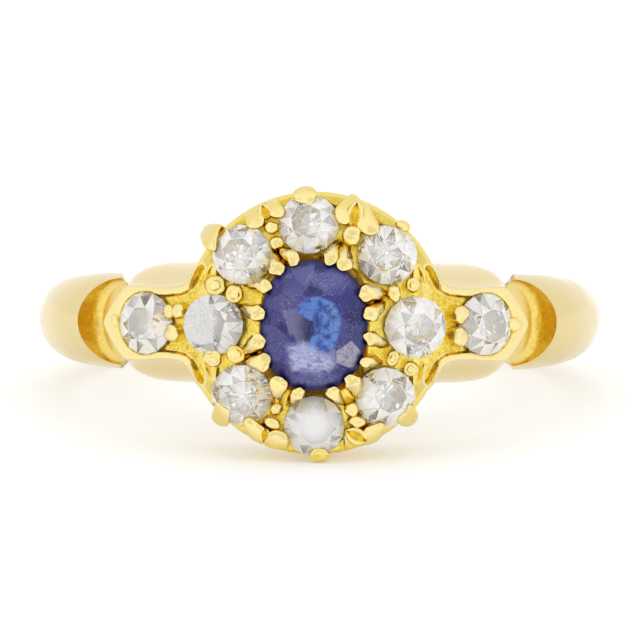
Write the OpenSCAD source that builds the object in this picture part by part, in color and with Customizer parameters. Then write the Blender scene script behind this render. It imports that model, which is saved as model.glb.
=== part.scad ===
// Cluster ring. An oval blue stone stands in a circle of eight small stones, and each
// shoulder carries one more in a pointed plate with a scoop cut into the band behind it.
// The ring lies on its side: +Z is up, the head faces -Y, and the finger axis is nearly
// upright. The origin is on the surface below the middle of the ring.

/* [Band] */
// Diameter of the hole for the finger
finger_d = 17; // [15.5:0.1:19]
// Width of the band at the back
back_w = 2.2; // [1.8:0.1:2.8]
// Thickness of the band at the back
back_t = 1.3; // [1:0.05:1.6]
// Width of the band beside the finger
side_w = 3; // [2.5:0.1:3.3]
// Thickness of the band beside the finger
side_t = 1.65; // [1.4:0.05:1.9]
// Width of the band just behind the scoops
shoulder_w = 3.52; // [3.3:0.02:3.8]
// Thickness of the band just behind the scoops
shoulder_t = 1.8; // [1.65:0.05:2]
// Width of the narrow neck in front of the scoops
neck_w = 2.9; // [2.6:0.05:3.1]
// Height of the plain edge beside the skin
edge_h = 0.18; // [0.1:0.02:0.3]

/* [Scoops] */
// Angle from the head to the middle of a scoop
scoop_at = 47.3; // [46:0.1:49]
// Radius of a scoop's round end
scoop_r = 1.52; // [1.4:0.02:1.6]
// Metal left under a scoop
scoop_floor = 0.75; // [0.6:0.05:0.95]

/* [Middle stone] */
// Size of the middle stone round the finger
centre_w = 3.77; // [3.5:0.01:3.9]
// Size of the middle stone along the finger
centre_l = 4.63; // [4.4:0.01:4.9]
// Height of its girdle above the small stones' girdles
centre_lift = 0.6; // [0.5:0.05:0.8]
// Height of its crown above the girdle
centre_crown = 0.95; // [0.7:0.05:1.1]
// Depth of its pavilion below the girdle
centre_depth = 1.9; // [1.6:0.05:2.2]

/* [Small stones] */
// Diameter of a small stone of the circle
halo_d = 2.14; // [2:0.02:2.24]
// Space between the middle stone's end and a small stone
halo_gap = 0.165; // [0.14:0.005:0.25]
// Height of the small stones' girdles above the finger
halo_rise = 2.85; // [2.6:0.05:3.2]
// Outward tilt of the small stones
halo_tilt = 10; // [6:1:13]
// Crown height of a small stone as a share of its diameter
crown_share = 0.17; // [0.14:0.01:0.2]
// Pavilion depth of a small stone as a share of its diameter
depth_share = 0.45; // [0.4:0.01:0.5]
// Clearance between any stone and its seat
stone_gap = 0.03; // [0.02:0.005:0.05]

/* [Shoulder plates] */
// Angle from the head to a shoulder stone
plate_at = 33; // [32:0.2:34]
// Diameter of a shoulder stone
plate_d = 2.2; // [2:0.02:2.3]
// Height of a plate above the finger
plate_rise = 2.6; // [2.4:0.05:2.9]
// Width of the flat rim of a plate
plate_rim = 0.24; // [0.18:0.01:0.3]
// Reach of a plate's point beyond its stone
plate_point = 0.7; // [0.55:0.05:0.85]
// Depth of the sunken bed of a plate
plate_bed = 0.4; // [0.3:0.05:0.5]
// Depth of a shoulder stone's girdle below the plate
plate_sink = 0.12; // [0.05:0.01:0.2]
// Width of a shoulder at the skin
flank_w = 4.4; // [4:0.05:4.8]
// Reach of a shoulder's foot from its stone's middle
foot_reach = 2.9; // [2.7:0.05:3.05]

/* [Head] */
// Wall outside the small stones
rim_wall = 0.08; // [0.06:0.01:0.14]
// Depth of the bed between the stones below their girdles
bed_drop = 0.16; // [0.1:0.02:0.24]
// Wall round the middle stone's seat
collar_wall = 0.1; // [0.08:0.01:0.12]
// Radius of the hole under the middle stone
centre_hole = 1.4; // [1:0.05:1.5]
// Radius of the hole under a small stone
halo_hole = 0.56; // [0.4:0.02:0.6]
// Width of a leaf-shaped cut at the rim
leaf_w = 0.4; // [0.3:0.02:0.5]

/* [Claws] */
// Radius of a claw's tip on the middle stone
claw_r = 0.22; // [0.18:0.01:0.24]
// Radius of a bead between the stones
bead_r = 0.25; // [0.2:0.01:0.28]
// Radius of an outer claw's tip
outer_claw_r = 0.32; // [0.26:0.01:0.36]
// Radius of each half of a forked claw
fork_r = 0.3; // [0.24:0.01:0.32]

/* [Hidden] */
$fn = 24;

finger_r = finger_d / 2;
bury = 0.3;             // how far pieces run into each other
girdle_t = 0.06;        // thickness of a round stone's edge
centre_girdle_t = 0.09; // thickness of the middle stone's edge
cushion = 2.35;         // squareness of the middle stone's outline, 2 is an ellipse

// How a stone is cut, as shares of its half width: table, where the star faces end, where the
// lower faces end, and the flat point
round_cut = [0.54, 0.76, 0.3, 0.07];
centre_cut = [0.5, 0.74, 0.35, 0.1];
function table(cut) = cut[0];
function star(cut) = cut[1];
function lower(cut) = cut[2];
function point(cut) = cut[3];

halo_r = centre_l / 2 + halo_gap + halo_d / 2;
head_r = halo_r + halo_d / 2 + rim_wall;
halo_z = finger_r + halo_rise;
centre_z = halo_z + centre_lift;
rim_z = halo_z - bed_drop - halo_d / 2 * sin(halo_tilt);
plate_z = finger_r + plate_rise;
tip_u = plate_d / 2 + plate_point;
plate_half = plate_d / 2 + plate_rim;

// The small stones, clockwise from the top one as the wearer's head is seen from in front.
// angle, size, outer claw's angle, its size and how far out it stands as a share of its
// radius; a claw of size 0 isn't there
halo = [
    [  93.5, 1.00,   93.8, 1.05, -0.45],
    [  44.0, 0.99,   47.3, 0.80,  0.05],
    [  -1.0, 1.02,    0.0, 0.00,  0.00],
    [ -45.5, 1.00,  -43.5, 1.05, -0.45],
    [ -90.0, 1.01,  -89.0, 0.95, -0.45],
    [-136.0, 1.01, -136.5, 1.10, -0.55],
    [ 180.0, 1.01,    0.0, 0.00,  0.00],
    [ 136.0, 0.99,  140.5, 1.25,  0.10]];
function stone_angle(i) = halo[i][0];
function stone_d(i) = halo_d * halo[i][1];
function claw_angle(i) = halo[i][2];
function outer_claw_size(i) = outer_claw_r * halo[i][3];
function claw_out(i) = outer_claw_size(i) * halo[i][4];
bottom_stone = 4;
gaps = [for (k = [0:7]) 22.5 + 45 * k];
forks = [67.5, 112.5, 247.5, 292.5];

// Sections of the band: angle from the head, width, thickness
band_sections = [
    [16, neck_w, shoulder_t],
    [44, neck_w, shoulder_t],
    [54, shoulder_w, shoulder_t],
    [90, side_w, side_t],
    [180, back_w, back_t]];
station_step = 6;
arch_step = 15;

// Wall of the head: share of the head's radius, share of the rim's height above the finger
head_wall = [[1, 1], [0.985, 0.8], [0.91, 0.5], [0.85, 0.2], [0.83, 0]];

// Edge of a shoulder plate, from the head to the point.
// top along, top across, foot along, foot across, as shares of the reach and half width
plate_edge = [
    [-1.25, 0.97, -0.80, 1.02],
    [ 0.00, 1.00,  0.00, 1.02],
    [ 0.50, 0.99,  0.42, 0.96],
    [ 0.68, 0.79,  0.66, 0.84],
    [ 0.84, 0.50,  0.84, 0.70],
    [ 0.95, 0.22,  0.96, 0.38],
    [ 1.00, 0.00,  1.00, 0.00]];
// Flare of a shoulder's wall: depth below the plate, spread from top edge to foot edge
plate_flare = [[0, 0], [0.1, 0.02], [0.35, 0.2], [0.58, 0.55], [0.8, 0.86], [1, 1], [1.6, 1]];

gold = "#e3b73c";
blue = "#3b3f94";
clear = "#eceef0";

// Smooth value of a column between two rows of the band's table
function eased(s) = (1 - cos(180 * s)) / 2;
function band_at(a, column, i = 0) =
    i == len(band_sections) - 2 || a <= band_sections[i + 1][0]
    ? let (p = band_sections[i], q = band_sections[i + 1], s = (a - p[0]) / (q[0] - p[0]))
        p[column] + (q[column] - p[column]) * eased(min(1, max(0, s)))
    : band_at(a, column, i + 1);

// Outline of the band at an angle from the head, as [along the finger, distance from its axis]
function band_outline(a) =
    let (w = band_at(a, 1) / 2, t = band_at(a, 2))
    concat([[-w, finger_r - bury], [w, finger_r - bury]],
        [for (q = [0:arch_step:180])
            [w * cos(q), finger_r + edge_h + (t - edge_h) * sin(q)]]);

// Half width of the middle stone's outline towards angle a, grown all round by extra
function cushion_r(a, extra = 0) =
    1 / pow(pow(abs(cos(a)) / (centre_w / 2 + extra), cushion)
        + pow(abs(sin(a)) / (centre_l / 2 + extra), cushion), 1 / cushion);
function cushion_line(scale = 1, extra = 0, steps = 32) =
    [for (k = [0:steps - 1]) let (a = 360 * k / steps)
        scale * cushion_r(a, extra) * [cos(a), sin(a)]];

// Height of the bed between the stones, which falls away from the middle
function bed_z(r) = halo_z - bed_drop - (r - halo_r) * tan(halo_tilt);

function polar(r, a, z) = [r * cos(a), r * sin(a), z];

// Height of a cut stone's face above its girdle at a share of the half width, as a share of
// the height of its table or point, which starts at the share inner
function face_rise(share, inner) = (1 - share * cos(22.5)) / (1 - inner);

// Lowest point of the claw under the bottom stone and of the band's back edge, once the
// ring is turned by t; the ring comes to rest where they are level
bottom_claw = outer_claw_tip(bottom_stone);
function front_low(t) = bottom_claw[1] * cos(t) + bottom_claw[2] * sin(t)
    - outer_claw_size(bottom_stone);
function back_low(t) = min([for (p = band_outline(180))
    if (p[1] > finger_r - bury) p[0] * cos(t) - p[1] * sin(t)]);
function rest_tilt(low = 0, high = 30, rounds = 20) =
    let (t = (low + high) / 2)
    rounds == 0 ? t
    : front_low(t) < back_low(t) ? rest_tilt(t, high, rounds - 1)
    : rest_tilt(low, t, rounds - 1);
tilt = rest_tilt();
lie_z = -front_low(tilt);
front_y = min(-(centre_z + centre_crown) * cos(tilt) - centre_l * 0.27 * sin(tilt),
    bottom_claw[1] * sin(tilt) - bottom_claw[2] * cos(tilt));
back_y = max([for (p = band_outline(180)) p[1] * cos(tilt) + p[0] * sin(tilt)]);
lie_y = -(front_y + back_y) / 2;
echo(tilt = tilt, lie_y = lie_y, lie_z = lie_z);

// Turns the ring from head up to lying on its side
module lie_down() {
    translate([0, lie_y, lie_z]) rotate([90 - tilt, 0, 0]) children();
}

// Places its children on the radius at an angle from the head, with +X away from the head
module on_shoulder(side, angle, height) {
    mirror([side < 0 ? 1 : 0, 0, 0]) rotate([0, angle, 0]) translate([0, 0, height]) children();
}

// Solid through rings of equally many points, closed at both ends
module loft(rings) {
    n = len(rings[0]);
    last = len(rings) - 1;
    polyhedron([for (ring = rings) each ring], concat(
        [[for (i = [0:n - 1]) i]],
        [for (k = [0:last - 1]) for (i = [0:n - 1]) let (j = (i + 1) % n)
            each [[k * n + i, (k + 1) * n + i, (k + 1) * n + j], [k * n + i, (k + 1) * n + j, k * n + j]]],
        [[for (i = [n - 1:-1:0]) last * n + i]]));
}

// Tapered rod between two points
module rod(p, q, r1, r2) {
    d = q - p;
    translate(p) rotate([0, acos(d[2] / norm(d)), atan2(d[1], d[0])])
        cylinder(h = norm(d), r1 = r1, r2 = r2, $fn = 16);
}

// Rounded end of a claw or bead
module tip(p, r) {
    translate(p) sphere(r = r, $fn = 16);
}

// Band from one side of the head round the back to the other
module band() {
    start = band_sections[0][0];
    stations = floor((360 - 2 * start) / station_step);
    loft([for (k = [0:stations])
        let (a = start + (360 - 2 * start) * k / stations, from_head = min(a, 360 - a))
        [for (p = band_outline(from_head)) [p[1] * sin(a), p[0], p[1] * cos(a)]]]);
}

// Scoop at the end of the band: a round end, open towards the head
module scoop() {
    cylinder(h = shoulder_t * 2, r = scoop_r);
    translate([-2 * scoop_r, -shoulder_w, 0]) cube([2 * scoop_r, 2 * shoulder_w, shoulder_t * 2]);
}

// One level of a shoulder, as points round its edge
function plate_ring(spread, z, inset = 0) =
    let (half = [for (p = plate_edge)
        let (top = [p[0] * (tip_u - 1.5 * inset), p[1] * (plate_half - inset)],
            foot = [p[2] * foot_reach, p[3] * flank_w / 2])
        [each (top + (foot - top) * spread), z]])
    concat(half, [for (i = [len(half) - 2:-1:0]) [half[i][0], -half[i][1], half[i][2]]]);

// Shoulder: a pointed plate on flaring walls
module shoulder() {
    loft([for (f = plate_flare) plate_ring(f[1], -f[0] * plate_rise)]);
}

// Sunken bed of a plate
module plate_well() {
    translate([0, 0, -plate_bed]) linear_extrude(plate_bed + bury)
        polygon([for (p = plate_ring(0, 0, plate_rim)) [p[0], p[1]]]);
}

// Beads of a plate: one at its point and a pair towards the head
module plate_beads() {
    reach = plate_d / 2 + bead_r * 0.9;
    floor_z = -plate_bed - bury;
    top_z = -plate_sink + bead_r * 0.6;
    for (a = [0, 160, 200]) {
        at = polar(reach, a, 0);
        rod(at + [0, 0, floor_z], at + [0, 0, top_z], bead_r, bead_r * 0.9);
        tip(at + [0, 0, top_z], bead_r * 0.95);
    }
}

// Cup of the head, closed across the top by the bed of the stones
module head_cup() {
    skirt = finger_r - sqrt(finger_r * finger_r - pow(head_wall[4][0] * head_r, 2)) + bury;
    difference() {
        rotate_extrude($fn = 72) polygon(concat(
            [[0, finger_r - skirt], [head_wall[4][0] * head_r, finger_r - skirt]],
            [for (i = [len(head_wall) - 1:-1:0])
                [head_wall[i][0] * head_r, finger_r + head_wall[i][1] * (rim_z - finger_r)]],
            [[0, bed_z(0)]]));
        leaf_cuts();
    }
}

// Oval collar that carries the middle stone
module collar() {
    foot = bed_z(centre_l / 2) - bury;
    translate([0, 0, foot]) linear_extrude(centre_z - 2 * centre_girdle_t - foot)
        polygon(cushion_line(1, collar_wall));
}

// Claws of the middle stone, a pair towards each small stone
module centre_claws() {
    for (k = [0:15]) {
        a = 11.25 + 22.5 * k;
        edge = cushion_r(a);
        top = centre_z + claw_r * 1.1;
        rod(polar(edge + claw_r * 0.9, a, bed_z(edge) - bury), polar(edge + claw_r * 0.1, a, top),
            claw_r * 0.95, claw_r * 0.9);
        tip(polar(edge + claw_r * 0.1, a, top), claw_r);
    }
}

// Two beads in each space between small stones
module gap_beads() {
    for (a = gaps) for (row = [[-0.47, 0.95], [0.17, 1.05]]) {
        r = halo_r + row[0];
        size = bead_r * row[1];
        top = bed_z(r) + bed_drop + size * 0.4;
        rod(polar(r, a, bed_z(r) - bury), polar(r, a, top), size, size * 0.9);
        tip(polar(r, a, top), size * 0.95);
    }
}

// Tip of the claw outside a small stone
function outer_claw_tip(i) =
    polar(head_r + claw_out(i), claw_angle(i), rim_z + bed_drop + outer_claw_size(i) * 0.75);

// Single claws outside the small stones
module outer_claws() {
    for (i = [0:len(halo) - 1]) {
        size = outer_claw_size(i);
        if (size > 0) {
            root = polar(head_r * 0.89, claw_angle(i), rim_z - 0.4 * halo_rise);
            rod(root, outer_claw_tip(i), size * 0.9, size * 0.95);
            tip(outer_claw_tip(i), size);
        }
    }
}

// Forked claws, each laid over two neighbouring small stones
module forked_claws() {
    spread = 6.8;
    for (a = forks) {
        root = polar(head_r * 0.88, a, rim_z - 0.4 * halo_rise);
        for (side = [-1, 1]) {
            end = polar(head_r - 1.9 * fork_r, a + side * spread, rim_z + bed_drop + fork_r * 1.1);
            rod(root, end, fork_r * 0.9, fork_r);
            tip(end, fork_r * 1.03);
        }
    }
}

// Leaf-shaped cuts down the wall between the small stones
module leaf_cuts() {
    for (a = gaps)
        rod(polar(head_r, a, rim_z + bed_drop), polar(head_r * 0.9, a, finger_r + 0.3 * halo_rise),
            leaf_w / 2, leaf_w / 5);
}

// Room for a round stone in the gold: its own form grown by the clearance, and a hole below
module round_seat(d, hole, drop) {
    cut = round_cut;
    r = d / 2 + stone_gap;
    girdle = girdle_t / 2 + stone_gap;
    crown = crown_share * d;
    slope = depth_share * d * face_rise(lower(cut), point(cut)) / (d / 2 * (1 - lower(cut)));
    rotate_extrude() polygon([[0, -drop], [hole, -drop],
        [hole, -girdle - (r - hole) * slope], [r, -girdle], [r, girdle],
        [r * star(cut), girdle + crown * face_rise(star(cut), table(cut))],
        [r * table(cut), girdle + crown], [r * table(cut), d], [0, d]]);
}

// Room for the middle stone and the hole below it
module centre_seat() {
    cut = centre_cut;
    girdle = centre_girdle_t / 2 + stone_gap;
    loft([for (row = [[lower(cut), -girdle - centre_depth * face_rise(lower(cut), point(cut))],
            [1, -girdle], [1, girdle],
            [star(cut), girdle + centre_crown * face_rise(star(cut), table(cut))],
            [table(cut), girdle + centre_crown], [table(cut), 2 * centre_crown]])
        [for (p = cushion_line(row[0], stone_gap)) [p[0], p[1], row[1]]]]);
    translate([0, 0, -centre_z + finger_r / 2])
        cylinder(h = centre_z - finger_r / 2 - centre_depth * 0.2, r = centre_hole);
}

// Faces of half a cut stone: an inner ring of 8 points, a middle ring of 8 and a girdle ring
// of 16, whose even points lie under the middle ring and odd ones under the inner ring
function half_faces(inner, middle, girdle) =
    [for (k = [0:7]) let (next = (k + 1) % 8, g = 2 * k, h = 2 * k + 1, j = (2 * k + 2) % 16)
        each [
            [inner + k, inner + next, middle + next],
            [inner + k, girdle + h, middle + k],
            [inner + k, middle + next, girdle + h],
            [middle + k, girdle + h, girdle + g],
            [middle + next, girdle + j, girdle + h]]];
function turned(faces) = [for (f = faces) [f[2], f[1], f[0]]];

// Cut stone with a table, eight main facets above and below, and a small flat point.
// The outline is an oval whose squareness is 2 for a round stone.
module cut_stone(w, l, squareness, crown, depth, girdle, cut) {
    ring = function (share, z, first, step, n) [for (k = [0:n - 1]) let (a = first + step * k,
        r = 1 / pow(pow(abs(cos(a)) * 2 / w, squareness)
            + pow(abs(sin(a)) * 2 / l, squareness), 1 / squareness))
        [share * r * cos(a), share * r * sin(a), z]];
    points = concat(
        ring(table(cut), girdle / 2 + crown, 22.5, 45, 8),
        ring(star(cut), girdle / 2 + crown * face_rise(star(cut), table(cut)), 0, 45, 8),
        ring(1, girdle / 2, 0, 22.5, 16),
        ring(1, -girdle / 2, 0, 22.5, 16),
        ring(lower(cut), -girdle / 2 - depth * face_rise(lower(cut), point(cut)), 0, 45, 8),
        ring(point(cut), -girdle / 2 - depth, 22.5, 45, 8));
    sides = [for (k = [0:15]) let (j = (k + 1) % 16)
        each [[16 + k, 16 + j, 32 + j], [16 + k, 32 + j, 32 + k]]];
    polyhedron(points, concat([[7, 6, 5, 4, 3, 2, 1, 0]], half_faces(0, 8, 16),
        sides, turned(half_faces(56, 48, 32)), [[for (k = [0:7]) 56 + k]]));
}

module round_diamond(d) {
    cut_stone(d, d, 2, crown_share * d - girdle_t / 2, depth_share * d, girdle_t, round_cut);
}

// Places its children on a small stone's girdle
module at_halo(i) {
    rotate([0, 0, stone_angle(i)]) translate([halo_r, 0, halo_z]) rotate([0, halo_tilt, 0]) children();
}

module at_plate(side) {
    on_shoulder(side, plate_at, plate_z) children();
}

module gold_mount() {
    color(gold) lie_down() difference() {
        union() {
            difference() {
                band();
                for (side = [-1, 1]) on_shoulder(side, scoop_at, finger_r + scoop_floor) scoop();
            }
            head_cup();
            for (side = [-1, 1]) at_plate(side) difference() {
                shoulder();
                plate_well();
            }
            for (side = [-1, 1]) at_plate(side) plate_beads();
            collar();
            centre_claws();
            gap_beads();
            outer_claws();
            forked_claws();
        }
        for (i = [0:len(halo) - 1])
            at_halo(i) round_seat(stone_d(i), halo_hole, halo_rise * 1.3);
        for (side = [-1, 1])
            at_plate(side) translate([0, 0, -plate_sink]) round_seat(plate_d, halo_hole, plate_rise * 1.3);
        translate([0, 0, centre_z]) centre_seat();
        rotate([90, 0, 0]) cylinder(h = 4 * head_r, r = finger_r, center = true, $fn = 128);
    }
}

module sapphire() {
    color(blue) lie_down() translate([0, 0, centre_z])
        cut_stone(centre_w, centre_l, cushion, centre_crown, centre_depth, centre_girdle_t, centre_cut);
}

module small_diamond(i) {
    color(clear) lie_down() at_halo(i) round_diamond(stone_d(i));
}

module shoulder_diamond(side) {
    color(clear) lie_down() at_plate(side) translate([0, 0, -plate_sink]) round_diamond(plate_d);
}

gold_mount();
sapphire();
small_diamond(0);  // diamond_1
small_diamond(1);  // diamond_2
small_diamond(2);  // diamond_3
small_diamond(3);  // diamond_4
small_diamond(4);  // diamond_5
small_diamond(5);  // diamond_6
small_diamond(6);  // diamond_7
small_diamond(7);  // diamond_8
shoulder_diamond(-1);  // shoulder_diamond_left
shoulder_diamond(1);  // shoulder_diamond_right
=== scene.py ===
import random
from math import atan2, cos, hypot, pi, radians, sin, sqrt, tan
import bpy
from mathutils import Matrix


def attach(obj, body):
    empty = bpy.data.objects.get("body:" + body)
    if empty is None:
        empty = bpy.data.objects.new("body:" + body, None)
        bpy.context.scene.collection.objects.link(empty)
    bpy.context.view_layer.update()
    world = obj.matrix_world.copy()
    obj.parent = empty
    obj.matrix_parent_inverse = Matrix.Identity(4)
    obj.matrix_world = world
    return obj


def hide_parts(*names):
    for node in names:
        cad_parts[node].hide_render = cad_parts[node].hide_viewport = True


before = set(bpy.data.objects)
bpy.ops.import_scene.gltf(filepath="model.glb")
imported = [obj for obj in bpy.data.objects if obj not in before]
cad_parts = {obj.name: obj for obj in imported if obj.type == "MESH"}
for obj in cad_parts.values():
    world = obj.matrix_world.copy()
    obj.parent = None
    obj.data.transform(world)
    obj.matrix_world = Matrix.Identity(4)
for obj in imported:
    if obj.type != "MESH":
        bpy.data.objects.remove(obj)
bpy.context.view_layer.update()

from types import SimpleNamespace

import bmesh
import bpy
from mathutils import Matrix, Vector

# Sizes in millimetres as the part's source has them, in the ring's own frame:
# X across the hand, Y along the finger, Z out of the head
ring = {
    "fingerRadius": 8.5,
    "stoneCircle": 3.55, "girdleHeight": 11.35, "stoneTilt": 10,
    "headRadius": 4.70, "rimHeight": 11.004,
    "centreHeight": 11.95, "centreWidth": 3.77, "centreLength": 4.63, "squareness": 2.35,
    "plateAngle": 33, "plateHeight": 11.1,
    "restTilt": 10.5962, "restShift": 1.63109, "restLift": 2.69383,
}
layDown = (Matrix.Scale(0.001, 4) @ Matrix.Translation((0, ring["restShift"], ring["restLift"]))
           @ Matrix.Rotation(radians(90 - ring["restTilt"]), 4, "X"))


# ---- meshes

def placed(name, data):
    thing = bpy.data.objects.new(name, data)
    bpy.context.scene.collection.objects.link(thing)
    return thing


def discard(thing):
    mesh = thing.data
    bpy.data.objects.remove(thing)
    bpy.data.meshes.remove(mesh)


def addMesh(name, points, faces):
    mesh = bpy.data.meshes.new(name)
    mesh.from_pydata([tuple(p) for p in points], [], [tuple(f) for f in faces])
    mesh.update()
    return placed(name, mesh)


def smoothed(thing, angle):
    # rounded shading that keeps edges sharper than the angle
    thing.data.shade_smooth()
    thing.data.set_sharp_from_angle(angle=radians(angle))
    return thing


def rightWay(thing, near=1e-5):
    # merges doubles, closes the poles and points every face outwards
    shape = bmesh.new()
    shape.from_mesh(thing.data)
    bmesh.ops.remove_doubles(shape, verts=shape.verts, dist=near)
    bmesh.ops.dissolve_degenerate(shape, edges=shape.edges, dist=near)
    bmesh.ops.recalc_face_normals(shape, faces=shape.faces)
    shape.to_mesh(thing.data)
    shape.free()
    return thing


def loft(name, rings, smooth=None, hub=None):
    # closed solid through rings of equally many points; hub is the middle of its flat ends
    count = len(rings[0])
    points = [p for row in rings for p in row]
    faces = []
    for r in range(len(rings) - 1):
        for i in range(count):
            a, b = r * count + i, r * count + (i + 1) % count
            faces.append([a, b, b + count, a + count])
    for r in (0, len(rings) - 1):
        middle = sum((Vector(p) for p in rings[r]), Vector()) / count
        points.append((*hub, middle.z) if hub else middle)
        faces += [[r * count + i, r * count + (i + 1) % count, len(points) - 1] for i in range(count)]
    thing = rightWay(addMesh(name, points, faces))
    return thing if smooth is None else smoothed(thing, smooth)


def around(count):
    return [2 * pi * k / count for k in range(count)]


def turnedSolid(name, profile, count, smooth=None):
    # solid of revolution about Z from (radius, height) points, closed on the axis
    return loft(name, [[(r * cos(a), r * sin(a), z) for a in around(count)] for r, z in profile], smooth)


def bake(thing):
    # turns the evaluated object into a plain mesh and clears its modifiers
    graph = bpy.context.evaluated_depsgraph_get()
    mesh = bpy.data.meshes.new_from_object(thing.evaluated_get(graph))
    thing.modifiers.clear()
    old, thing.data = thing.data, mesh
    bpy.data.meshes.remove(old)
    return thing


def combine(body, others, operation):
    # takes the others one by one, and uses them up
    for other in others:
        step = body.modifiers.new(operation, "BOOLEAN")
        step.operation, step.object, step.solver = operation, other, "MANIFOLD"
        bake(body)
        discard(other)
    return body


def weld(body, *others):
    return combine(body, others, "UNION")


def carve(body, *cutters):
    return combine(body, cutters, "DIFFERENCE")


def moved(thing, matrix):
    thing.data.transform(matrix)
    return thing


def joined(name, things):
    shape, mesh = bmesh.new(), bpy.data.meshes.new(name)
    for thing in things:
        shape.from_mesh(thing.data)
        discard(thing)
    shape.to_mesh(mesh)
    shape.free()
    return placed(name, mesh)


def dressed(thing, name, material, smooth=None, stands=()):
    # puts a finished piece in its place on the ring and gives it its finish
    thing.name = thing.data.name = name
    thing.data.transform(layDown)
    if smooth is not None:
        smoothed(thing, smooth)
    thing.data.materials.clear()
    thing.data.materials.append(material)
    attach(thing, "root")
    if stands:
        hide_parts(*stands)


def bend(a, b, c, d, t):
    # a point between b and c on the smooth curve through all four
    return 0.5 * (2 * b + (c - a) * t + (2 * a - 5 * b + 4 * c - d) * t * t + (3 * b - a - 3 * c + d) * t ** 3)


def curveThrough(points, steps):
    # smooth open curve through the points, as steps + 1 of its own
    rows = [Vector(p) for p in points]
    rows = [2 * rows[0] - rows[1]] + rows + [2 * rows[-1] - rows[-2]]
    result = []
    for k in range(steps + 1):
        place = k / steps * (len(points) - 1)
        i = min(int(place), len(points) - 2)
        result.append(bend(*rows[i:i + 4], place - i))
    return result


def closedCurve(points, steps):
    # smooth closed curve through flat points, always counter-clockwise
    area = sum(a[0] * b[1] - b[0] * a[1] for a, b in zip(points, points[1:] + points[:1]))
    rows = list(points) if area > 0 else list(reversed(points))
    count, result = len(rows), []
    for k in range(steps):
        place = k * count / steps
        i = int(place)
        result.append(bend(*(Vector(rows[(i % count + n) % count]) for n in (-1, 0, 1, 2)), place - i))
    return result


# ---- nodes

def maths(operation):
    # a method that adds a Math node of this kind
    def method(self, *others):
        return self.graph.add("ShaderNodeMath", dict(enumerate([self, *others])), operation=operation)
    return method


class Value:
    # a node's output, so that sums read as sums
    def __init__(self, graph, socket):
        self.graph, self.socket = graph, socket

    __add__, __sub__, __mul__, __rmul__ = maths("ADD"), maths("SUBTRACT"), maths("MULTIPLY"), maths("MULTIPLY")
    __truediv__, __pow__, root, size = maths("DIVIDE"), maths("POWER"), maths("SQRT"), maths("ABSOLUTE")
    smaller, larger, sine, cosine = maths("MINIMUM"), maths("MAXIMUM"), maths("SINE"), maths("COSINE")
    sign, below, above = maths("SIGN"), maths("LESS_THAN"), maths("GREATER_THAN")

    def __rsub__(self, other):
        return self * -1 + other

    def between(self, low, high, start=0.0, end=1.0):
        # eased from start at low to end at high
        return self.graph.add("ShaderNodeMapRange", {
            "Value": self, "From Min": low, "From Max": high, "To Min": start, "To Max": end},
            interpolation_type="SMOOTHSTEP")

    def fading(self, low, high):
        return self.between(low, high, 1.0, 0.0)


class Graph:
    def __init__(self, tree):
        self.tree = tree

    def add(self, kind, sockets=None, out=0, **settings):
        node = self.tree.nodes.new(kind)
        for key, value in settings.items():
            setattr(node, key, value)
        for key, value in (sockets or {}).items():
            if isinstance(value, Value):
                self.tree.links.new(value.socket, node.inputs[key])
            else:
                node.inputs[key].default_value = value
        return Value(self, node.outputs[out])

    def mix(self, factor, a, b):
        # b over a; each is a plain colour or a node's output
        a, b = (paint if isinstance(paint, Value) else (*paint, 1) for paint in (a, b))
        return self.add("ShaderNodeMix", {0: factor, 6: a, 7: b}, 2, data_type="RGBA")

    def noise(self, place, scale, detail, roughness=0.5, distortion=0.0):
        return self.add("ShaderNodeTexNoise", {"Vector": place, "Scale": scale, "Detail": detail,
                                               "Roughness": roughness, "Distortion": distortion})

    def mapped(self, place, turn, scale, kind="TEXTURE", shift=(0, 0, 0)):
        return self.add("ShaderNodeMapping", {"Vector": place, "Location": tuple(shift),
                                              "Rotation": tuple(turn), "Scale": scale}, vector_type=kind)

    def parts(self, vector):
        node = self.add("ShaderNodeSeparateXYZ", {0: vector}).socket.node
        return [Value(self, output) for output in node.outputs]

    def dot(self, vector, way):
        return self.add("ShaderNodeVectorMath", {0: vector, 1: tuple(way)}, 1, operation="DOT_PRODUCT")

    def openness(self, reach):
        return self.add("ShaderNodeAmbientOcclusion", {"Distance": reach}, 1, samples=6)

    def attribute(self, name):
        return self.add("ShaderNodeAttribute", out=2, attribute_name=name)

    def principled(self, sockets):
        return self.add("ShaderNodeBsdfPrincipled", sockets)


def geometryTree(name, inputs, build):
    # a Geometry Nodes tree; inputs are its names with their kinds, and build returns its geometry
    tree = bpy.data.node_groups.new(name, "GeometryNodeTree")
    graph = Graph(tree)
    kinds = {float: "Float", int: "Int", "object": "Object", "material": "Material"}
    for way in ("OUTPUT", "INPUT"):
        tree.interface.new_socket("Geometry", in_out=way, socket_type="NodeSocketGeometry")
    for key, kind in (*inputs.items(), ("material", "material")):
        label = "".join(" " + letter if letter.isupper() else letter for letter in key).title()
        tree.interface.new_socket(label, in_out="INPUT", socket_type="NodeSocket" + kinds[kind])
    source = tree.nodes.new("NodeGroupInput")
    given = SimpleNamespace(**{key: Value(graph, socket)
                               for key, socket in zip(("geometry", *inputs, "material"), source.outputs)})
    result = build(graph, given)
    result = graph.add("GeometryNodeRealizeInstances", {"Geometry": result})
    result = graph.add("GeometryNodeSetMaterial", {"Geometry": result, "Material": given.material})
    end = tree.nodes.new("NodeGroupOutput")
    tree.links.new(result.socket, end.inputs["Geometry"])
    return tree


def grow(thing, tree, **values):
    # runs a tree on an object with these inputs and keeps the plain mesh
    step = thing.modifiers.new(tree.name, "NODES")
    step.node_group = tree
    sockets = {item.name.replace(" ", "").lower(): item.identifier for item in tree.interface.items_tree
               if item.in_out == "INPUT"}
    for key, value in values.items():
        step[sockets[key.lower()]] = value
    return bake(thing)


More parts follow.
